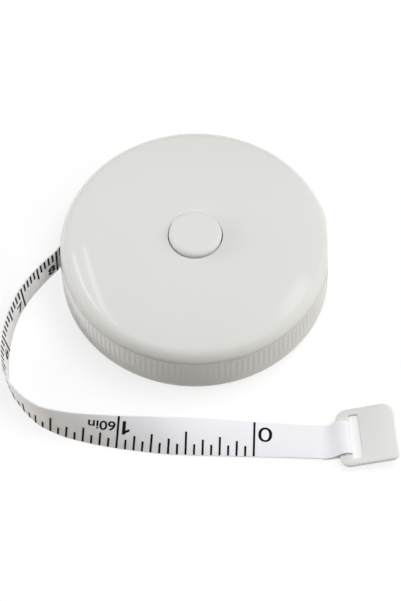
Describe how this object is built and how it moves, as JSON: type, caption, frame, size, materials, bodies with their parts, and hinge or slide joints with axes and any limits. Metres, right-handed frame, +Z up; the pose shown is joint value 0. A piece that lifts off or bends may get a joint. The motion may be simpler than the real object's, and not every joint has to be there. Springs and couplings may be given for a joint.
{
  "type": "retractable cloth tape measure",
  "caption": "Pocket sewing tape measure: white coated-cloth tape on a spring reel in a round ribbed case, with a push button on top and a slotted end tab.",
  "frame": {"origin": "centre of the case's flat underside, on the surface it rests on", "axes": "+Z up through the button, +X from the case's middle to the stand flat on the rim, the tape leaves on the -X side and lies along -Y"},
  "size_m": [0.0738, 0.0679, 0.0161],
  "materials": {
    "case_plastic": "smooth moulded, soft gloss",
    "button_plastic": "smooth moulded, soft gloss",
    "reel_plastic": "plain moulded",
    "washer_plastic": "natural nylon",
    "tab_plastic": "satin white",
    "tape_cloth": "white coating over fine cloth, black print",
    "pad_rubber": "dark matt rubber",
    "disc_card": "pressed card",
    "spring_steel": "tempered spring steel"
  },
  "bodies": {
    "case": {"lower_shell": "case_plastic", "upper_shell": "case_plastic", "thrust_washer": "washer_plastic", "free_tape": "tape_cloth", "mainspring": "spring_steel", "button_spring": "spring_steel"},
    "reel": {"reel_drum": "reel_plastic", "reel_cover": "reel_plastic", "wound_tape": "tape_cloth", "tape_wedge": "reel_plastic", "spring_disc": "disc_card"},
    "push_button": {"button": "button_plastic", "brake_plate": "washer_plastic", "brake_pad": "pad_rubber"},
    "tab": {"end_tab": "tab_plastic"}
  },
  "joints": [
    {"name": "button_press", "type": "slide", "parent": "case", "child": "push_button", "axis": [0, 0, -1], "range_m": [0, 0.001], "stiffness_N_per_m": 1000, "springref_m": -0.001, "deforming": ["button_spring"]},
    {"name": "reel_spin", "type": "hinge", "parent": "case", "child": "reel", "pos_m": [0, 0, 0], "axis": [0, 0, 1], "range_deg": [-270, 5476], "deforming": ["mainspring"]},
    {"name": "tab_swing", "type": "hinge", "parent": "case", "child": "tab", "pos_m": [0.0274, -0.0364, 0.00123], "axis": [0.0872, -0.9962, 0], "range_deg": [-122, 117]}
  ]
}
